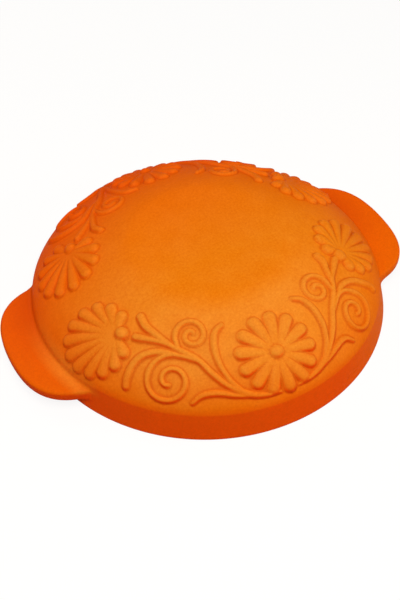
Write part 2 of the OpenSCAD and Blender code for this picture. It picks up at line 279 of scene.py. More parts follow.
class Dome:
    """Outer line of the dome as radius and height against the way down its surface: level to the
    edge of the crown, one cubic curve down the slope, a small round shoulder, then the band."""

    def __init__(self, shape):
        self.rim_r = shape.rim_d * MM / 2
        self.crown_r = shape.crown_d * MM / 2
        self.height = shape.height * MM
        self.band_h = shape.band_h * MM
        self.lean = shape.band_lean * MM
        self.wall = shape.wall * MM
        shoulder = np.array([self.rim_r - self.lean, self.band_h])
        pull = SHOULDER_PULL * (self.height - self.band_h)
        u = shape.shoulder_angle
        ends = np.array([
            [self.crown_r, self.height],
            [self.crown_r + CROWN_PULL * (shoulder[0] - self.crown_r), self.height],
            shoulder + pull * np.array([-math.cos(u), math.sin(u)]),
            shoulder,
        ])
        self.slope, self.slope_turn = cubic_curve(ends, np.linspace(0, 1, SLOPE_POINTS))
        down = np.array([self.lean, -self.band_h])
        down /= np.linalg.norm(down)
        kept = self.slope[np.linalg.norm(self.slope - shoulder, axis=1) > SHOULDER_SOFT[0]]
        corner = np.array([kept[-1], shoulder, shoulder + SHOULDER_SOFT[1] * down])
        arc = round_corner(corner, SHOULDER_POINTS)
        line = np.vstack([[0, self.height], kept, arc, corner[2] + RUN_ON * down])
        self.line = line
        self.ways = np.r_[0, np.cumsum(np.linalg.norm(np.diff(line, axis=0), axis=1))]
        self.end_way = self.ways[-2]
        self.end = line[-2]

    def point(self, way):
        """Radius and height at a way down the surface from the middle of the crown."""
        return np.stack([np.interp(way, self.ways, self.line[:, i]) for i in (0, 1)], -1)

    def normal(self, way):
        """Outward direction, as radius and height, from the chord half a millimetre each way."""
        d = self.point(way + 0.5) - self.point(np.maximum(way - 0.5, 0))
        d /= np.linalg.norm(d, axis=-1, keepdims=True)
        return np.stack([-d[..., 1], d[..., 0]], -1)

    def way(self, radius):
        """Way down the surface to a radius."""
        return np.interp(radius, self.line[:, 0], self.ways)

    def band_r(self, z):
        """Radius of the band's outside at a height."""
        return self.rim_r - self.lean * z / self.band_h

    def lift(self, xy):
        """Plan points lifted onto the dome."""
        r = np.linalg.norm(xy, axis=-1)
        return np.concatenate([xy, np.interp(r, self.line[:, 0], self.line[:, 1])[..., None]], -1)

    def beside(self, place, t, s):
        """Plan point t sideways and s down the slope from a place (radius, angle in degrees)."""
        a = math.radians(place[1])
        r = self.point(self.way(place[0]) + s)[..., 0]
        return np.stack([r * math.cos(a) + t * math.sin(a), r * math.sin(a) - t * math.cos(a)], -1)


# Places and lines of the pattern are in hundredths of the rim's radius, in the first quarter of
# the plan. Places are (radius, angle in degrees), lines (x, y, share of the stem's width, share of
# its height). A scroll has the outer and the inner radius of its spiral, the angle at which it
# starts, its turns and their hand, and the share of the stem's height to which it sinks.
DAISY_AT = (78, 90)
DAISY_PETALS = 13
PETAL_ROOT_W = 3.0
BIG_SCROLL = {
    "place": (85.5, 51), "radii": (13.1, 2.3), "start": -100, "turns": 1.5, "hand": 1, "sinks": 1.0,
}
SMALL_SCROLL = {
    "place": (64.5, 56.7), "radii": (8.6, 1.7), "start": 20, "turns": 1.35, "hand": -1, "sinks": 0.7,
}
BIG_WAY_IN = [(35.5, 70.5, 0.4, 0.8), (39.5, 64.5, 0.75, 1)]
SMALL_WAY_IN = [(44, 58, 0.4, 0.8)]
STEM = [
    (5.5, 93, 0.45, 0.7), (12.5, 92, 0.75, 0.9), (20.5, 89, 1, 1), (28.5, 82.5, 1, 1), (34, 74.5, 0.95, 1),
    (38, 65.5, 0.9, 1), (44, 57, 0.85, 1), (49.5, 49.5, 0.9, 1), (55.5, 43.5, 1.05, 1.1),
    (59.5, 39.5, 1.15, 1.2),
]
RIM_LEAF = [
    (20, 90, 0.4, 0.7), (27.5, 86.5, 0.8, 1), (35.5, 82, 0.95, 1), (42.5, 79.5, 0.85, 1),
    (48, 79.5, 0.55, 0.9),
]
DAISY_LEAF = [
    (22.5, 87, 0.4, 0.7), (27, 81, 0.75, 1), (29, 73, 0.85, 1), (28, 64.5, 1, 1), (24.5, 58.5, 0.95, 1),
    (19.5, 56.5, 0.65, 0.9),
]
DROP_LEAF = [
    (42.5, 59, 0.4, 0.6), (47, 52, 0.75, 1), (50.5, 44.5, 1, 1.1), (53, 38, 1.25, 1.2), (53, 32, 1.3, 1.2),
]
FAN_LEAF = [
    (40, 65, 0.4, 0.7), (46, 58.5, 0.75, 1), (53, 52.5, 1, 1), (60, 49.5, 1.05, 1.1), (66, 50, 1.1, 1.1),
    (71, 53, 1.1, 1.1), (73, 55.5, 1.05, 1.1),
]

# The quarters were cut by hand in the mould, so they differ a little. flip mirrors the first quarter
# into place. fan is the fan's place, size its share of fan_d, step and axis the angles between its
# petals and of their middle, root and boss how far its roots and its boss lie off its middle as
# shares of its size, and moves (x, y, dx, dy) shift the vine near x, y.
QUARTERS = (
    {"flip": (-1, -1), "fan": (81, 19.6), "size": 1, "petals": 12, "step": 25.7, "axis": 45,
     "root": 0.28, "boss": 0.36, "moves": ((0, 0, 0, 0),)},
    {"flip": (1, -1), "fan": (77, 21.7), "size": 0.96, "petals": 12, "step": 27, "axis": 30,
     "root": 0.28, "boss": 0.36, "moves": (
         (29, 73, 1.4, 0), (28, 64.5, 1.9, 0.6), (19.5, 56.5, 1.3, 0.3), (48, 79.5, -6.3, 1.9),
         (35.5, 82, 0, -0.2), (34, 74.5, 1.9, 0.6), (39.5, 65.5, 2.5, 1.9), (54, 66, -1.6, 2.5),
         (65, 65.5, -3.1, 1.9), (56.5, 55, 0, 5), (51.5, 75, -0.9, 3.8), (45, 70, -0.6, 1.9),
         (60, 49.5, 0, 4.4), (67, 50.5, 0, 3.8), (73, 55.5, -0.6, 0), (44, 57, 2.5, 0),
         (49.5, 49.5, 0.6, 0.3), (55.5, 43.5, -0.6, -0.3), (59.5, 39.5, -1.6, -1.6),
         (50.5, 44.5, -3.1, 0), (53, 38, -5, 3.1), (53, 32, -5.6, 6.3), (35.5, 54, 1.4, 1.6))},
    {"flip": (-1, 1), "fan": (75.6, 20.8), "size": 1.02, "petals": 11, "step": 28.5, "axis": 16,
     "root": 0.2, "boss": 0.28, "moves": (
         (29, 73, -4.7, 0), (28, 64.5, -5.6, 0), (19.5, 56.5, -5.6, 1.6), (35.5, 54, -5.3, 2.8),
         (47, 52, -5, 0), (50.5, 44.5, -6.3, 0.6), (53, 38, -8.1, 1.9), (53, 32, -8.1, 5),
         (44, 57, -3.1, 1.3), (49.5, 49.5, -1.3, -0.3), (55.5, 43.5, -0.6, -0.3),
         (59.5, 39.5, 1.3, 1.6), (53, 52.5, -0.6, 0.6), (60, 49.5, -0.6, 4.4), (66, 50, -1.6, 5.6),
         (73, 55.5, -5.9, 3.8), (54, 66, -5.6, 3.1), (56.5, 55, -5, 6.3), (38, 65.5, -3.8, 0.6),
         (34, 74.5, -3.1, 0), (48, 79.5, -6.3, 1.9))},
    {"flip": (1, 1), "fan": (78.8, 18.8), "size": 1, "petals": 12, "step": 25.7, "axis": 38,
     "root": 0.27, "boss": 0.34, "moves": (
         (19.5, 56.5, 3.1, -2.2), (28, 64.5, 1.3, -1.3), (35.5, 54, 2.2, -3.4), (53, 32, -2.8, 0.6),
         (53, 38, -1.9, 0.6), (59.5, 39.5, 1.3, 1.9))},
)
MOVE_REACH = 4.4
MOVE_EASE = 0.15

# Steps from point to point of a smooth line. Points of a spiral, the power of the turn by which its
# radius falls, how much narrower it ends and how often the ways its points are carried are evened.
LINE_STEPS = 6
SPIRAL_POINTS = 48
SPIRAL_POWER = 1.1
SPIRAL_TAPER = 0.15
SPIRAL_EVENED = 16

# Points of a petal's line, the share of its height at the root and the power by which it rises
PETAL_POINTS = 7
PETAL_ROOT_RISE = 0.45
PETAL_RISE_POWER = 0.7

# Power by which ribs join, how full their sections and a boss are, how early the petals grow wide,
# how much of their length the raised ground takes and over how many millimetres it falls away. The
# ring round a boss: its depth as a share, and in millimetres how far off it lies and how wide it is.
JOIN = 8
STEM_FULLNESS = 0.5
PETAL_FULLNESS = 0.48
BOSS_FULLNESS = 0.55
DAISY_SWELL = 2.0
FAN_SWELL = 1.25
DAISY_GROUND = 0.47
FAN_GROUND = 0.28
HUB_SPREAD = 6.0
MOAT = 0.5
MOAT_OFF = 0.7
MOAT_WIDE = 1.1

# The carver's hand: how far the drawing wanders, in millimetres, and how much its heights vary, as a
# share, each with the length of its waves in millimetres. How many waves a wander has, what their
# sum is divided by, and how unlike their lengths are.
HAND_WANDER = 0.3
HAND_WAVE = 60
HEIGHT_WANDER = 0.06
HEIGHT_WAVE = 28
WAVES = 6
WAVES_HEIGHT = 3.5
WAVE_SPREAD = (0.6, 1.6)


def carried(points, moves, evened=0):
    """Line points (x, y, ...) in hundredths of the rim's radius, carried by the moves. Each move
    has the weight exp(-d^2 / (2 MOVE_REACH^2)) at the distance d, and a point goes by the weighted
    mean, which MOVE_EASE fades to nothing far from all of them. The ways the points go are then
    evened along the line, by their mean with both neighbours, that many times."""
    points, moves = np.array(points, float), np.array(moves, float)
    far = np.linalg.norm(points[:, None, :2] - moves[None, :, :2], axis=-1)
    weight = np.exp(-0.5 * (far / MOVE_REACH) ** 2)
    gone = weight @ moves[:, 2:] / (weight.sum(1)[:, None] + MOVE_EASE)
    for _ in range(evened):
        gone = (np.vstack([gone[:1], gone[:-1]]) + 2 * gone + np.vstack([gone[1:], gone[-1:]])) / 4
    points[:, :2] += gone
    return points


def scroll_line(dome, way_in, scroll, moves):
    """A way in from the stem, then a spiral whose radius falls as the power SPIRAL_POWER of the
    turn and whose height sinks over its first half."""
    hundredth = dome.rim_r / 100
    f = np.linspace(0, 1, SPIRAL_POINTS)
    a = np.radians(scroll["start"] + scroll["hand"] * 360 * scroll["turns"] * f)
    outer, inner = scroll["radii"]
    r = (outer - (outer - inner) * f ** SPIRAL_POWER) * hundredth
    place = (scroll["place"][0] * hundredth, scroll["place"][1])
    xy = dome.beside(place, r * np.cos(a), r * np.sin(a)) / hundredth
    rise = 1 - (1 - scroll["sinks"]) * smooth_step(2 * f)
    spiral = carried(np.c_[xy, 1 - SPIRAL_TAPER * f, rise], moves, SPIRAL_EVENED)
    lead = smooth_line(np.vstack([way_in, spiral[:1]]), LINE_STEPS)
    return np.vstack([lead, spiral[1:]])


def petal_lines(dome, place, d, petals, step, axis, shift, width, swell):
    """One straight line a petal, from the common root to the middle of its round end. Its half
    width grows as 1 - (1 - f)^swell of the way f, so that the petals touch until near their ends,
    and its height rises as f^PETAL_RISE_POWER."""
    root = -shift * towards(axis)
    f = np.linspace(0, 1, PETAL_POINTS)[:, None]
    half = (PETAL_ROOT_W + (width - PETAL_ROOT_W) * (1 - (1 - f) ** swell)) / 2
    rise = PETAL_ROOT_RISE + (1 - PETAL_ROOT_RISE) * f ** PETAL_RISE_POWER
    lines = []
    for i in range(petals):
        tip = d / 2 * towards(axis + step * (i - (petals - 1) / 2))
        end = tip - width / 2 * (tip - root) / np.linalg.norm(tip - root)
        middle = root + (end - root) * f
        lines.append(np.c_[dome.beside(place, middle[:, 0], middle[:, 1]), half, rise])
    return lines


def rib_height(ground, line, height, soft, fullness):
    """Height of one rib over the ground points. With d the distance to the line and w its half
    width there, it is height * (1 - (1 - x)^2)^fullness, where x is (w - d) / w and turns into 0
    along a parabola within soft of the rib's foot."""
    reach = line[:, 2].max() + 2 * soft
    low, high = line[:, :2].min(0) - reach, line[:, :2].max(0) + reach
    near = np.flatnonzero(((ground[:, :2] > low) & (ground[:, :2] < high)).all(1))
    out = np.zeros(len(ground))
    if not len(near):
        return out
    p = ground[near][:, None, :]
    a, b = line[:-1], line[1:]
    ab = b[:, 4:7] - a[:, 4:7]
    t = np.clip(((p - a[:, 4:7]) * ab).sum(-1) / np.maximum((ab * ab).sum(-1), 1e-9), 0, 1)
    d = np.linalg.norm(p - a[:, 4:7] - t[..., None] * ab, axis=-1)
    w = a[:, 2] + t * (b[:, 2] - a[:, 2])
    share = a[:, 3] + t * (b[:, 3] - a[:, 3])
    e = w - d
    e = np.where(e > soft, e, np.where(e < -soft, 0, (e + soft) ** 2 / (4 * soft)))
    x = np.minimum(e / w, 1)
    out[near] = (height * share * (1 - (1 - x) ** 2) ** fullness).max(1)
    return out


def wander(xy, seed, wave):
    """Slow uneven field, mostly between -1 and 1: plane waves of random heading, about as long as
    wave, added up and divided by WAVES_HEIGHT."""
    rng = np.random.default_rng(seed)
    total = np.zeros(len(xy))
    for _ in range(WAVES):
        a, phase = rng.uniform(0, 2 * math.pi), rng.uniform(0, 2 * math.pi)
        long = wave * rng.uniform(*WAVE_SPREAD)
        along = xy[:, 0] * math.cos(a) + xy[:, 1] * math.sin(a)
        total += np.sin(along * 2 * math.pi / long + phase)
    return total / WAVES_HEIGHT


def relief_height(dome, relief, plan):
    """Height of the whole pattern over plan points. Where ribs overlap it is the eighth root of the
    sum of the eighth powers of their heights, so that they run into each other."""
    hundredth = dome.rim_r / 100
    soft = relief.softness * MM
    astray = np.c_[wander(plan, seed=3, wave=HAND_WAVE), wander(plan, seed=4, wave=HAND_WAVE)]
    wandered = plan + HAND_WANDER * astray
    total = np.zeros(len(plan))

    def add(height):
        np.add(total, height ** JOIN, out=total)

    def rib(ground, line, height, fullness):
        add(rib_height(ground, np.c_[line, dome.lift(line[:, :2])], height, soft, fullness))

    def vine_rib(ground, line, half):
        rib(ground, line * [hundredth, hundredth, half, 1], relief.stem_h * MM, STEM_FULLNESS)

    def flower(ground, place, d, petals, step, axis, shift, boss_shift, swell, share):
        width = relief.petal_w * MM
        for line in petal_lines(dome, place, d, petals, step, axis, shift, width, swell):
            rib(ground, line, relief.petal_h * MM, PETAL_FULLNESS)
        hub = dome.lift(dome.beside(place, *(-shift * (1 - share) * towards(axis))))
        boss = dome.lift(dome.beside(place, *(-boss_shift * towards(axis))))
        off_boss = np.linalg.norm(ground - boss, axis=1)
        boss_r = relief.boss_d * MM / 2
        moat = 1 - MOAT * np.exp(-((off_boss - boss_r - MOAT_OFF) / MOAT_WIDE) ** 2)
        r = share * (d - width) / 2
        off_hub = np.linalg.norm(ground - hub, axis=1)
        add(relief.hub_h * MM * moat * smooth_step((r + HUB_SPREAD - off_hub) / (2 * HUB_SPREAD - 1)))
        add(relief.boss_h * MM * (1 - np.clip(off_boss / boss_r, 0, 1) ** 2) ** BOSS_FULLNESS)

    for quarter in QUARTERS:
        ground = dome.lift(wandered * quarter["flip"])
        moves = quarter["moves"]
        for points in (STEM, RIM_LEAF, DAISY_LEAF, DROP_LEAF, FAN_LEAF):
            vine_rib(ground, smooth_line(carried(points, moves), LINE_STEPS), relief.stem_w * MM / 2)
        for way_in, scroll in ((BIG_WAY_IN, BIG_SCROLL), (SMALL_WAY_IN, SMALL_SCROLL)):
            lead = carried(way_in, moves) * [1, 1, relief.stem_w / relief.scroll_w, 1]
            vine_rib(ground, scroll_line(dome, lead, scroll, moves), relief.scroll_w * MM / 2)
        d = quarter["size"] * relief.fan_d * MM
        place = (quarter["fan"][0] * hundredth, quarter["fan"][1])
        flower(ground, place, d, quarter["petals"], quarter["step"], quarter["axis"],
               quarter["root"] * d, quarter["boss"] * d, FAN_SWELL, FAN_GROUND)
    place = (DAISY_AT[0] * hundredth, DAISY_AT[1])
    for side in (-1, 1):
        ground = dome.lift(wandered * side)
        flower(ground, place, relief.daisy_d * MM, DAISY_PETALS, 360 / DAISY_PETALS, 90, 0, 0,
               DAISY_SWELL, DAISY_GROUND)
    return (1 + HEIGHT_WANDER * wander(plan, seed=5, wave=HEIGHT_WAVE)) * total ** (1 / JOIN)


# Rows on each run and arc of the skirt down to the rim, for the columns of a handle; the others
# spread them evenly. The edge rows are those from a handle's top round its edge, and the rim rows
# those round the rim's outer edge.
SKIRT_ROWS = [1, 4, 8, 4, 2, 3, 4, 2, 4]
EDGE_ROWS = slice(12, 16)
RIM_ROWS = 3
# Most that an arc takes of the shorter run beside it
ARC_SHARE = 0.48

# Power of the angle by which a handle's edge falls back to the band. In millimetres: how far behind
# the band's face it ends, how far a handle stands out where its edge is upright and where it has all
# its rows, the least step from the band and the fillet under the handle. The least share of the way
# out that the underside goes.
HANDLE_POWER = 3.7
BEHIND_BAND = 1
UPRIGHT_AT = 6
FULL_AT = 9
LEAST_STEP = 0.02
UNDER_FILLET = 2.5
UNDER_SHARE = 0.6


def rounded_path(corners, radii, ways):
    """Points along paths of straight runs whose corners are rounded by arcs. corners is (paths,
    corners, 2), radii (paths, inner corners), and ways gives for each path the ways along it.
    Also returns where each run and arc ends."""
    step = np.diff(corners, axis=1)
    long = np.linalg.norm(step, axis=2)
    heading = np.arctan2(step[..., 1], step[..., 0])
    turn = (np.diff(heading, axis=1) + math.pi) % (2 * math.pi) - math.pi
    grip = np.tan(np.abs(turn) / 2)
    room = ARC_SHARE * np.minimum(long[:, :-1], long[:, 1:])
    radii = np.minimum(radii, room / np.maximum(grip, 1e-6))
    cut = radii * grip
    run = long.copy()
    run[:, :-1] -= cut
    run[:, 1:] -= cut
    pieces = []
    for i in range(run.shape[1]):
        pieces.append(run[:, i])
        if i < turn.shape[1]:
            pieces.append(radii[:, i] * np.abs(turn[:, i]))
    ends = np.cumsum(np.array(pieces), axis=0).T
    starts = np.c_[np.zeros(len(ends)), ends[:, :-1]]
    out = np.repeat(corners[:, :1], ways.shape[1], axis=1).astype(float)
    for j in range(ends.shape[1]):
        i = j // 2
        gone = np.clip(ways - starts[:, j:j + 1], 0, (ends[:, j] - starts[:, j])[:, None])
        u = np.stack([np.cos(heading[:, i]), np.sin(heading[:, i])], -1)[:, None]
        if j % 2 == 0:
            out += u * gone[..., None]
        else:
            r = np.maximum(radii[:, i], 1e-9)[:, None]
            v = np.stack([-u[..., 1], u[..., 0]], -1) * np.sign(turn[:, i])[:, None, None]
            a = gone / r
            out += r[..., None] * (u * np.sin(a)[..., None] + v * (1 - np.cos(a))[..., None])
    return out, ends


def handle_reach(dome, handles, reach, angle):
    """How far the band stands out as a handle at an angle round the dome: from its tip the handle's
    edge falls back by (off / half)^HANDLE_POWER, where off is the angle from its middle and half
    that of its root, with a fillet where it meets the band."""
    wall_r = dome.band_r(handles.underside * MM + handles.thickness * MM / 2)
    tip_r = reach / 2
    half = math.asin(handles.width * MM / 2 / wall_r)
    off = np.abs((angle + math.pi / 2) % math.pi - math.pi / 2)
    free = tip_r - (tip_r - wall_r) * (off / half) ** HANDLE_POWER
    return np.maximum(eased_max(wall_r - BEHIND_BAND, free, handles.fillet * MM) - wall_r, 0)


def skirt(dome, shape, handles, angle):
    """Section below the shoulder at each angle, as (columns, rows, radius and height): down the
    band, out along a handle's top, round its edge, back under it and down to the rim."""
    out = handle_reach(dome, handles, shape.reach * MM, angle)
    low = handles.underside * MM
    top = low + handles.thickness * MM
    mid_r = dome.band_r((low + top) / 2)
    top_r = dome.band_r(top) + LEAST_STEP + out
    low_r = dome.band_r(low) + LEAST_STEP + UNDER_SHARE * out
    edge_top = np.maximum(mid_r + out, top_r)
    edge_top += (1 - smooth_step(out / UPRIGHT_AT)) * (top_r - edge_top)
    flat = np.ones_like(out)
    corners = np.stack([np.stack([r * flat, z * flat], -1) for r, z in (
        dome.end,
        (dome.band_r(top), top),
        (edge_top, top),
        (np.maximum(mid_r + out, low_r), low),
        (dome.band_r(low), low),
        (dome.rim_r, 0),
        (dome.rim_r - dome.wall / 2, 0),
    )], 1)
    radii = [handles.cove * MM, handles.edge * MM, handles.edge * MM, UNDER_FILLET, shape.rim_edge * MM]
    radii = np.array(radii)[None, :] * flat[:, None]
    ends = rounded_path(corners, radii, np.zeros((len(angle), 1)))[1]
    starts = np.c_[np.zeros(len(ends)), ends[:, :-1]]
    placed = [starts[:, j:j + 1] + (ends[:, j] - starts[:, j])[:, None] * np.arange(1, n + 1) / n
              for j, n in enumerate(SKIRT_ROWS)]
    placed = np.concatenate(placed, 1)
    even = ends[:, 8:9] * np.arange(1, placed.shape[1] + 1) / placed.shape[1]
    ways = even + (placed - even) * smooth_step(out / FULL_AT)[:, None]
    rim = starts[:, 9:10] + (ends[:, 9] - starts[:, 9])[:, None] * np.arange(1, RIM_ROWS + 1) / RIM_ROWS
    return rounded_path(corners, radii, np.concatenate([ways, rim], 1))[0]


def ring_points(line, angle):
    """Points of a section turned round the axis: (rows, columns, 3) from (rows, 2)."""
    r, z = line[:, 0][:, None], line[:, 1][:, None]
    return np.stack([r * np.cos(angle), r * np.sin(angle), z + 0 * angle], -1)


def grid_faces(first, rows, columns):
    """Quads of a grid closed round its columns, whose first vertex has the number given."""
    i = first + np.arange(rows - 1)[:, None] * columns
    j = np.arange(columns)[None, :]
    k = (j + 1) % columns
    return np.stack([i + j, i + columns + j, i + columns + k, i + k], -1).reshape(-1, 4)


def stitch_faces(many, few, n_many, n_few):
    """Triangles between a ring of many vertices and the next ring of few: each stretch of k of the
    many is joined by its first half to one of the few and by the rest to the next."""
    k = n_many // n_few
    j = np.arange(n_few)[:, None]
    a, b = few + j[:, 0], few + (j[:, 0] + 1) % n_few
    m = many + (j * k + np.arange(k + 1)) % n_many
    half = k // 2
    faces = [np.stack([m[:, i], a, m[:, i + 1]], -1) for i in range(half)]
    faces.append(np.stack([m[:, half], a, b], -1))
    faces += [np.stack([m[:, i], b, m[:, i + 1]], -1) for i in range(half, k)]
    return np.concatenate(faces)


# Inside, in millimetres: the rounding of the rim's inner edge, how far it is cut off at the corner,
# and how far below and above the shoulder its bend reaches. Points of the wall and of the bend, and
# every how many of the slope's points are used.
INNER_EDGE = 1.2
INNER_CUT = 0.35
BEND_REACH = 3
WALL_POINTS = 4
BEND_POINTS = 5
INNER_STRIDE = 28


def inner_line(dome):
    """Section of the hollow from the rim to the crown: the outside moved in by the wall."""
    side = np.array([dome.lean, -dome.band_h])
    side /= np.linalg.norm(side)
    shoulder = np.array([dome.rim_r - dome.lean, dome.band_h]) + dome.wall * np.array([side[1], -side[0]])
    rim = shoulder - side * shoulder[1] / side[1]
    inner = dome.slope + dome.wall * np.stack([dome.slope_turn[:, 1], -dome.slope_turn[:, 0]], -1)
    inner = inner[inner[:, 1] > shoulder[1] + BEND_REACH][::-1]
    foot = rim - INNER_EDGE * side
    edge = rim + [INNER_EDGE, 0], rim + [INNER_CUT, INNER_CUT], foot
    wall = foot + (shoulder + BEND_REACH * side - foot) * np.linspace(0, 1, WALL_POINTS)[1:, None]
    bend = round_corner([wall[-1], shoulder, inner[0]], BEND_POINTS)[:-1]
    crown = np.array([[r, dome.height - dome.wall] for r in INNER_RINGS])
    return np.vstack([*edge, wall, bend, inner[::INNER_STRIDE], inner[-1:], crown])


def add_mesh(name, points, faces):
    """Smoothly shaded mesh object from points in millimetres."""
    mesh = bpy.data.meshes.new(name)
    mesh.from_pydata((points / MM).tolist(), [], faces)
    mesh.update()
    mesh.validate()
    mesh.polygons.foreach_set("use_smooth", np.ones(len(mesh.polygons), bool))
    obj = bpy.data.objects.new(name, mesh)
    bpy.context.scene.collection.objects.link(obj)
    return obj


def soften(field, times):
    """Field on a grid closed round its columns, averaged with its neighbours that many times."""
    for _ in range(times):
        up = np.vstack([field[:1], field[:-1]])
        down = np.vstack([field[1:], field[-1:]])
        field = (2 * field + up + down + np.roll(field, 1, 1) + np.roll(field, -1, 1)) / 6
    return field


# The crease is the height's shortfall from its own average over near and far neighbours, each with its
# rounds of averaging and its weight. A handle's edge counts as a ridge, so that it gets the pale clay as a
# painted highlight line.
CREASE_NEAR = {"times": 3, "weight": 2.0}
CREASE_FAR = {"times": 16, "weight": 0.35}
HANDLE_EDGE_HIGHLIGHT = -0.4


def cover_surface(shape, handles, relief):
    """The whole closed surface of the cover. From the middle of the crown to the rim and back
    inside, each ring of points is one section point turned round the axis; only the relief rows
    move along the dome's normal, and the rows below the shoulder follow the handles."""
    dome = Dome(shape)
    angle = np.arange(COLUMNS) * 2 * math.pi / COLUMNS
    skirt_angle = angle[:: COLUMNS // SKIRT_COLUMNS]
    few_angle = angle[:: COLUMNS // FEW_COLUMNS]
    plain_way = dome.way(PLAIN_R)
    rings = dome.way(np.array(CROWN_RINGS, float))
    crown_ways = np.r_[rings, np.linspace(rings[-1], plain_way, PLAIN_RINGS + 1)[1:]]
    crown = ring_points(dome.point(crown_ways), few_angle)

    rows = int(round((dome.end_way - plain_way) / ROW_STEP))
    ways = np.linspace(plain_way, dome.end_way, rows + 1)[1:]
    line, normal = dome.point(ways), dome.normal(ways)
    slope = ring_points(line, angle)
    outward = ring_points(normal, angle)
    plan = slope[..., :2].reshape(-1, 2)
    height = relief_height(dome, relief, plan).reshape(len(ways), COLUMNS)
    height *= smooth_step((dome.end_way - ways) / RELIEF_END)[:, None]
    slope = slope + outward * height[..., None]

    r, z = np.moveaxis(skirt(dome, shape, handles, skirt_angle), -1, 0)
    below = np.stack([r.T * np.cos(skirt_angle), r.T * np.sin(skirt_angle), z.T], -1)
    inside = ring_points(inner_line(dome), few_angle)

    top = np.array([[0, 0, dome.height]])
    under = np.array([[0, 0, dome.height - dome.wall]])
    blocks = [top, crown, slope, below, inside, under]
    points = np.vstack([b.reshape(-1, 3) for b in blocks])
    at = np.cumsum([0] + [b.reshape(-1, 3).shape[0] for b in blocks])
    # Above 0 in the creases of the relief, which get painted shade, below 0 on its ridges and on the
    # handles' edges, which get pale clay as dust and painted highlight
    crease = np.zeros(len(points))
    for scale in (CREASE_NEAR, CREASE_FAR):
        crease[at[2]:at[3]] += scale["weight"] * (soften(height, scale["times"]) - height).ravel()
    # Painted highlight line along the handles' edges, carried by the crease attribute as a ridge
    highlit = np.zeros(below.shape[:2])
    out = handle_reach(dome, handles, shape.reach * MM, skirt_angle)
    highlit[EDGE_ROWS] = HANDLE_EDGE_HIGHLIGHT * smooth_step(out / FULL_AT)
    crease[at[3]:at[4]] = highlit.ravel()

    j = np.arange(FEW_COLUMNS)
    k = (j + 1) % FEW_COLUMNS
    last_inner = at[5] - FEW_COLUMNS
    faces = [
        np.stack([np.zeros_like(j), at[1] + j, at[1] + k], -1),
        grid_faces(at[1], len(crown), FEW_COLUMNS),
        stitch_faces(at[2], at[2] - FEW_COLUMNS, COLUMNS, FEW_COLUMNS)[:, ::-1],
        grid_faces(at[2], len(slope), COLUMNS),
        stitch_faces(at[3] - COLUMNS, at[3], COLUMNS, SKIRT_COLUMNS),
        grid_faces(at[3], len(below), SKIRT_COLUMNS),
        stitch_faces(at[4] - SKIRT_COLUMNS, at[4], SKIRT_COLUMNS, FEW_COLUMNS),
        grid_faces(at[4], len(inside), FEW_COLUMNS),
        np.stack([last_inner + j, np.full_like(j, at[5]), last_inner + k], -1),
    ]
    return points, [f for block in faces for f in block.tolist()], crease


def new_group(name, inputs, outputs):
    """Empty group of shader nodes with named inputs and outputs, each (label, kind)."""
    group = bpy.data.node_groups.new(name, "ShaderNodeTree")
    for way, sockets in (("INPUT", inputs), ("OUTPUT", outputs)):
        for label, kind in sockets:
            group.interface.new_socket(name=label, in_out=way, socket_type=kind)
    return group, group.nodes.new("NodeGroupInput"), group.nodes.new("NodeGroupOutput")


# Colours of the clay by their names in the node group, with the properties that hold them
CLAY_COLOURS = {
    "Body": "body", "Far side shade": "flame", "Low": "low", "Steep shade": "steep", "Pale": "pale", "Deep": "deep",
}
# Scale, detail and roughness of the slow mottling and of the clouds in it, detail and roughness of
# the grains, and scale of the pits
MOTTLING = (14, 4, 0.55)
CLOUDS = (55, 3, 0.6)
GRAINS = (3, 0.8)
PITS = 420
# Where each mask of the clay is 0 and where it is 1: shares for textures, metres for places on the
# piece's own axes, the normal's Z for the painted shade of the steep sides, and the crease attribute
# for the proud ridges, which get dust and a painted highlight, and for the creases, which get painted
# shade
MASKS = {
    "mottle": (0.38, 0.66),
    "cloud": (0.35, 0.7),
    "speck": (0.33, 0.67),
    "pit": (0.05, 0.2),
    "low": (0.056, 0.028),
    "flame": (-0.17, 0.03),
    "by a handle": (0.135, 0.150),
    "near the band": (0.168, 0.160),
    "above a handle": (0.016, 0.020),
    "before the middle": (0.03, -0.04),
    "left of the middle": (0.0, -0.1),
    "below the slope": (0.036, 0.027),
    "on a handle": (0.180, 0.158),
    "on its top": (0.025, 0.020),
    "behind the middle": (-0.03, 0.03),
    "steep": (0.62, 0.12),
    "far right": (0.05, 0.15),
    "off the crown": (0.0748, 0.0705),
    "on the front": (0.02, -0.08),
    "not far right": (0.11, 0.02),
    "proud dust and highlight": (-0.1, -0.9),
    "crease shade": (0.1, 0.8),
}
# What is added up, each with its share: the uneven height at which the low clay begins, the way across
# the cover to its far side, where shade is painted as a darker, redder colour, the pale parts, which are
# dust and also painted highlights and a painted sheen, grit, and the surface's roughness and height
UNEVEN = {"z": 1, "mottle": 0.006}
TO_FAR_SHADE = {"y": 1, "x": -0.1, "z": -2.0, "mottle": 0.012}
DUST_AND_SHEEN = {"mottle": 0.2, "cloud": 0.1, "proud dust and highlight": 0.4, "speck": 0.2, "front sheen": 0.6}
GRIT = {"between specks": 0.3, "between clouds": 0.05}
ROUGH = {"speck": 0.10, "mottle": 0.06}
ROUGH_BASE = 0.40
BUMPS = {"speck": 0.5, "pit": 0.5, "cloud": 1.2}
# Colours laid over the dusty and highlighted body in turn, each by a mask and its share: painted shade on
# the far side, on the steep sides, by the handles at the back and in the creases, and painted light in the
# cove
LAYERS = (
    ("Low", "low", 1),
    ("Far side shade", "flame", 0.95),
    ("Steep shade", "steep", 1),
    ("Pale", "painted cove light", 0.6),
    ("Deep", "shade", 0.7),
    ("Deep", "crease shade", 0.42),
    ("Deep", "grit", 1),
)


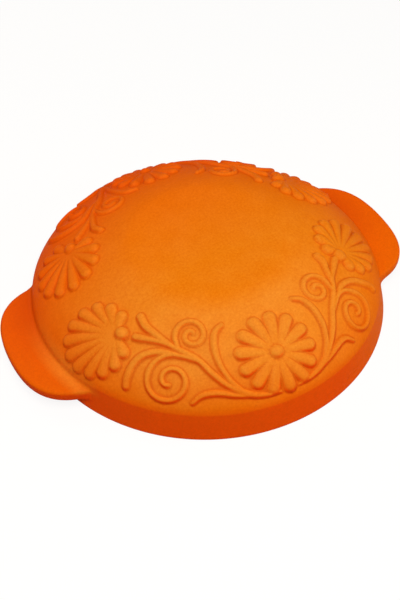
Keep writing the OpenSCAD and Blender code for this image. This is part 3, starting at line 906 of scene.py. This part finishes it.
def fired_clay_group():
    """Colour, roughness and height of unglazed clay: slow mottling from the kiln, a deeper colour
    towards the rim, painted shade as a darker, redder colour on the far side, on the steep sides,
    by the handles at the back and in the creases, painted light as paler clay in the cove of the
    left handle, a painted sheen on the front slope, paler clay on what stands proud as dust and
    painted highlight, and sandy grains with a few pits."""
    colour, value = "NodeSocketColor", "NodeSocketFloat"
    group, given, made = new_group(
        "fired clay",
        [(label, colour) for label in CLAY_COLOURS] + [("Crease", value), ("Grains per metre", value)],
        [("Color", colour), ("Roughness", value), ("Height", value)],
    )
    nodes, link = group.nodes, group.links.new
    place = nodes.new("ShaderNodeTexCoord")
    # Every mask and measure that is used by its name
    look = {}

    def feed(socket, source):
        if isinstance(source, (int, float)):
            socket.default_value = source
        else:
            link(source, socket)

    def texture(kind, output, **inputs):
        n = nodes.new(kind)
        link(place.outputs["Object"], n.inputs["Vector"])
        for name, source in inputs.items():
            feed(n.inputs[name], source)
        return n.outputs[output]

    def noise(scale, detail, rough):
        return texture("ShaderNodeTexNoise", "Fac", Scale=scale, Detail=detail, Roughness=rough)

    def maths(kind, a, b):
        n = nodes.new("ShaderNodeMath")
        n.operation = kind
        feed(n.inputs[0], a)
        feed(n.inputs[1], b)
        return n.outputs[0]

    def mask(name, source):
        n = nodes.new("ShaderNodeMapRange")
        n.inputs["From Min"].default_value, n.inputs["From Max"].default_value = MASKS[name]
        link(source, n.inputs["Value"])
        return n.outputs["Result"]

    def where(*parts):
        """Product of masks, each given by its name and by what of the look it is taken."""
        whole = 1.0
        for name, source in parts:
            whole = maths("MULTIPLY", whole, mask(name, look[source]))
        return whole

    def summed(shares):
        """Sum of what is named in the look, each by its share."""
        whole = 0.0
        for name, share in shares.items():
            whole = maths("ADD", whole, maths("MULTIPLY", look[name], share))
        return whole

    def mix(factor, a, b):
        n = nodes.new("ShaderNodeMix")
        n.data_type = "RGBA"
        link(factor, n.inputs["Factor"])
        link(a, n.inputs["A"])
        link(b, n.inputs["B"])
        return n.outputs["Result"]

    look["mottle"] = mask("mottle", noise(*MOTTLING))
    look["cloud"] = mask("cloud", noise(*CLOUDS))
    look["speck"] = mask("speck", noise(given.outputs["Grains per metre"], *GRAINS))
    look["pit"] = mask("pit", texture("ShaderNodeTexVoronoi", "Distance", Scale=PITS))
    # Proud ridges are made paler, as dust and as a painted highlight
    look["proud dust and highlight"] = mask("proud dust and highlight", given.outputs["Crease"])
    # Creases are made darker as painted shade
    look["crease shade"] = mask("crease shade", given.outputs["Crease"])
    for name in ("speck", "cloud"):
        look["between " + name + "s"] = maths("SUBTRACT", 1.0, look[name])

    at = nodes.new("ShaderNodeSeparateXYZ")
    link(place.outputs["Object"], at.inputs[0])
    look["x"], look["y"], look["z"] = at.outputs
    look["beside"] = maths("ABSOLUTE", look["x"], 0.0)
    flat = nodes.new("ShaderNodeCombineXYZ")
    link(look["x"], flat.inputs["X"])
    link(look["y"], flat.inputs["Y"])
    off_axis = nodes.new("ShaderNodeVectorMath")
    off_axis.operation = "LENGTH"
    link(flat.outputs[0], off_axis.inputs[0])
    look["round"] = off_axis.outputs["Value"]
    facing = nodes.new("ShaderNodeSeparateXYZ")
    link(place.outputs["Normal"], facing.inputs[0])

    look["low"] = mask("low", summed(UNEVEN))
    # Painted shade: darker and redder towards the far side, away from the light
    look["flame"] = mask("flame", summed(TO_FAR_SHADE))
    # Painted light: paler clay low in the cove in front of the left handle, where the lower slope gets
    # little light
    cove = where(("by a handle", "beside"), ("near the band", "round"), ("above a handle", "z"))
    bright = where(("before the middle", "y"), ("left of the middle", "x"), ("below the slope", "z"))
    look["painted cove light"] = maths("MULTIPLY", cove, bright)
    # Painted shade on the handles' tops and coves at the back, where the dome shades them
    look["shade"] = where(("on a handle", "round"), ("on its top", "z"), ("behind the middle", "y"))
    # Painted shade on the steep sides, taken off in the cove and towards the far right, where the band is
    # lit
    steep = maths("SUBTRACT", mask("steep", facing.outputs["Z"]), cove)
    steep = maths("SUBTRACT", steep, mask("far right", look["x"]))
    look["steep"] = maths("MAXIMUM", steep, 0.0)
    # Painted sheen on the front slope, below the crown and short of the far right
    look["front sheen"] = where(("off the crown", "z"), ("on the front", "y"), ("not far right", "x"))
    look["grit"] = summed(GRIT)

    clay = mix(summed(DUST_AND_SHEEN), given.outputs["Body"], given.outputs["Pale"])
    for label, name, share in LAYERS:
        clay = mix(maths("MULTIPLY", look[name], share), clay, given.outputs[label])
    link(clay, made.inputs["Color"])
    link(maths("ADD", summed(ROUGH), ROUGH_BASE), made.inputs["Roughness"])
    link(summed(BUMPS), made.inputs["Height"])
    return group


# Strength and height in metres of the grains, and the little gloss that unglazed clay has
BUMP_STRENGTH = 0.55
BUMP_DISTANCE = 0.0003
CLAY_SPECULAR = 0.02


def clay_material(clay):
    """Unglazed clay in the colours given, with the creases that the mesh carries."""
    material = bpy.data.materials.new("orange clay")
    material.use_nodes = True
    nodes, link = material.node_tree.nodes, material.node_tree.links.new
    shader = nodes["Principled BSDF"]
    fired = nodes.new("ShaderNodeGroup")
    fired.node_tree = fired_clay_group()
    for label, name in CLAY_COLOURS.items():
        fired.inputs[label].default_value = (*getattr(clay, name), 1)
    fired.inputs["Grains per metre"].default_value = 1 / clay.grain
    crease = nodes.new("ShaderNodeAttribute")
    crease.attribute_name = "crease"
    link(crease.outputs["Fac"], fired.inputs["Crease"])
    bump = nodes.new("ShaderNodeBump")
    bump.inputs["Strength"].default_value = BUMP_STRENGTH
    bump.inputs["Distance"].default_value = BUMP_DISTANCE
    link(fired.outputs["Height"], bump.inputs["Height"])
    link(bump.outputs["Normal"], shader.inputs["Normal"])
    link(fired.outputs["Color"], shader.inputs["Base Color"])
    link(fired.outputs["Roughness"], shader.inputs["Roughness"])
    shader.inputs["Specular IOR Level"].default_value = CLAY_SPECULAR
    return material


def camera_sees(tree, lit, seen, share, output):
    """Joins two shaders into an output: lit for all light, and seen for what the camera sees, where
    it has the share given."""
    nodes, link = tree.nodes, tree.links.new
    sight = nodes.new("ShaderNodeLightPath")
    part = nodes.new("ShaderNodeMath")
    part.operation = "MULTIPLY"
    part.inputs[1].default_value = share
    both = nodes.new("ShaderNodeMixShader")
    link(sight.outputs["Is Camera Ray"], part.inputs[0])
    link(part.outputs[0], both.inputs[0])
    link(lit.outputs[0], both.inputs[1])
    link(seen.outputs[0], both.inputs[2])
    link(both.outputs[0], nodes[output].inputs["Surface"])


# Strength of the white that the camera sees in the floor, and its share beside the matt floor
FLOOR_WHITE = 1.12
FLOOR_SEEN = 0.8


def floor_material(colour):
    """Matt floor. To the camera it is mixed with a plain white, so that the ground is pale and the
    object's shadow still lies on it."""
    material = bpy.data.materials.new("pale floor")
    material.use_nodes = True
    nodes = material.node_tree.nodes
    nodes.remove(nodes["Principled BSDF"])
    matt = nodes.new("ShaderNodeBsdfDiffuse")
    matt.inputs["Color"].default_value = (*colour, 1)
    white = nodes.new("ShaderNodeEmission")
    white.inputs["Color"].default_value = (1, 1, 1, 1)
    white.inputs["Strength"].default_value = FLOOR_WHITE
    camera_sees(material.node_tree, matt, white, FLOOR_SEEN, "Material Output")
    return material


class ROASTER_OT_cover(bpy.types.Operator):
    """Mould the cover: dome, handles and raised pattern in one closed surface of orange clay"""

    bl_idname = "roaster.cover"
    bl_label = "Cover"

    def execute(self, context):
        scene = context.scene
        shape, handles = scene.roaster_shape, scene.roaster_handles
        points, faces, crease = cover_surface(shape, handles, scene.roaster_relief)
        cover = add_mesh("moulded_cover", points, faces)
        creases = cover.data.attributes.new("crease", "FLOAT", "POINT")
        creases.data.foreach_set("value", crease)
        cover.data.materials.append(clay_material(scene.roaster_clay))
        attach(cover, "root")
        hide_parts("roaster_cover")
        return {"FINISHED"}


# Half the side of the floor, in metres
FLOOR_REACH = 6.0
# Lamps as name, place, size and watts, with the height above the floor that they aim at
LAMPS = (
    ("overhead", (-0.2, -0.43, 1.1), 0.9, 11.0),
    ("right", (1.0, -0.6, 0.4), 0.5, 4.0),
    ("back", (-0.35, 0.95, 0.85), 0.7, 3.2),
)
LAMP_AIM = 0.03
# Colour and strength of the room's own light
ROOM_COLOUR = (1.0, 0.93, 0.84, 1)
ROOM_LIGHT = 0.17
# The object stands a little right of the middle and above it in the frame of 400 by 600: how many
# pixels, and the frame's longer side
SHIFT = (-6.37, -3.12)
FRAME_SIDE = 600


class ROASTER_OT_stage(bpy.types.Operator):
    """Set up the pale floor, the soft studio light and the camera"""

    bl_idname = "roaster.stage"
    bl_label = "Stage"

    def execute(self, context):
        stage = context.scene.roaster_stage
        self.lay_floor(stage)
        self.hang_lamps(context.scene)
        self.stand_camera(context.scene, stage)
        return {"FINISHED"}

    def lay_floor(self, stage):
        corners = np.array([(-1, -1, 0), (1, -1, 0), (1, 1, 0), (-1, 1, 0)]) * FLOOR_REACH * MM
        floor = add_mesh("floor", corners, [[0, 1, 2, 3]])
        floor.data.materials.append(floor_material(stage.floor))

    def hang_lamps(self, scene):
        for name, place, side, watts in LAMPS:
            lamp = bpy.data.lights.new(name, "AREA")
            lamp.shape = "DISK"
            lamp.size = side
            lamp.energy = watts
            obj = bpy.data.objects.new(name, lamp)
            obj.location = place
            to_cover = Vector((0, 0, LAMP_AIM)) - obj.location
            obj.rotation_euler = to_cover.to_track_quat("-Z", "Y").to_euler()
            scene.collection.objects.link(obj)
        world = bpy.data.worlds.new("studio")
        world.use_nodes = True
        room = world.node_tree.nodes["Background"]
        room.inputs["Color"].default_value = ROOM_COLOUR
        room.inputs["Strength"].default_value = ROOM_LIGHT
        white = world.node_tree.nodes.new("ShaderNodeBackground")
        white.inputs["Color"].default_value = (1, 1, 1, 1)
        camera_sees(world.node_tree, room, white, 1.0, "World Output")
        scene.world = world

    def stand_camera(self, scene, stage):
        data = bpy.data.cameras.new("camera")
        data.sensor_width = 36.0
        data.lens = stage.lens
        data.shift_x, data.shift_y = (side / FRAME_SIDE for side in SHIFT)
        data.clip_start, data.clip_end = 0.05, 50.0
        camera = bpy.data.objects.new("camera", data)
        a, e = stage.azimuth, stage.elevation
        back = Vector((math.sin(a) * math.cos(e), -math.cos(a) * math.cos(e), math.sin(e)))
        aim = (-back).to_track_quat("-Z", "Y").to_matrix().to_4x4()
        roll = Matrix.Rotation(stage.roll, 4, "Z")
        camera.matrix_world = Matrix.Translation(back * stage.distance) @ aim @ roll
        scene.collection.objects.link(camera)
        scene.camera = camera
        scene.view_settings.view_transform = "Standard"


class ROASTER_PT_panel(bpy.types.Panel):
    bl_idname = "ROASTER_PT_panel"
    bl_label = "Clay roaster cover"
    bl_space_type = "VIEW_3D"
    bl_region_type = "UI"
    bl_category = "Roaster"

    def draw(self, context):
        for operator in OPERATORS:
            self.layout.operator(operator.bl_idname)
        for name, group in GROUPS.items():
            box = self.layout.box()
            box.label(text=group.__name__)
            for prop in group.__annotations__:
                box.prop(getattr(context.scene, name), prop)


GROUPS = {
    "roaster_shape": RoasterShape,
    "roaster_handles": RoasterHandles,
    "roaster_relief": RoasterRelief,
    "roaster_clay": RoasterClay,
    "roaster_stage": RoasterStage,
}
OPERATORS = (ROASTER_OT_cover, ROASTER_OT_stage)


def register():
    for cls in (*GROUPS.values(), *OPERATORS, ROASTER_PT_panel):
        bpy.utils.register_class(cls)
    for name, group in GROUPS.items():
        setattr(bpy.types.Scene, name, bpy.props.PointerProperty(type=group))


def unregister():
    for name in GROUPS:
        delattr(bpy.types.Scene, name)
    for cls in (ROASTER_PT_panel, *OPERATORS, *GROUPS.values()):
        bpy.utils.unregister_class(cls)


def main():
    """Make the cover and its stage."""
    register()
    bpy.ops.roaster.cover()
    bpy.ops.roaster.stage()


if __name__ == "__main__":
    main()
